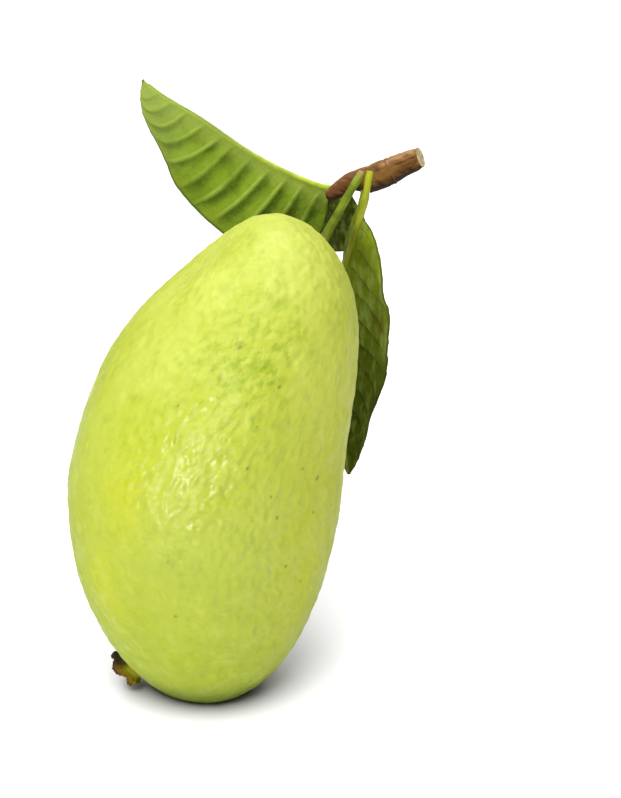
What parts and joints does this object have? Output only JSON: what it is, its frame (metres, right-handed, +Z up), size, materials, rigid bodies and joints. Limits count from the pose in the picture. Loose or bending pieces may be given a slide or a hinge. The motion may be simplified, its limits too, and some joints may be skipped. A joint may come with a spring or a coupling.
{
  "type": "guava",
  "caption": "Pear-shaped green guava standing on its blossom end, with dried calyx, stalk, a cut piece of woody twig and two ribbed leaves.",
  "frame": {"origin": "middle of the flat spot at the blossom end that the fruit stands on", "axes": "+Z up from the flat spot towards the stalk, +X to the right and +Y away from someone who looks at the side of the fruit that shows best"},
  "size_m": [0.0777, 0.0909, 0.1259],
  "materials": {
    "fruit_skin": "pale yellow-green waxy skin with fine pebbles, pits and small dark spots, semi-gloss",
    "calyx_crown": "dried brown sepals with dark tips and an olive foot, matte",
    "green_stalk": "smooth fresh green stalk, satin",
    "twig_bark": "thin brown bark with fine lengthwise cracks, pale wood at the cut end, matte",
    "leaf_blade": "leathery green leaf with raised paler veins, satin"
  },
  "bodies": {
    "root": {"fruit": "fruit_skin", "calyx": "calyx_crown", "fruit_stalk": "green_stalk", "twig": "twig_bark", "upper_leaf": "leaf_blade", "hanging_leaf": "leaf_blade"}
  },
  "joints": []
}
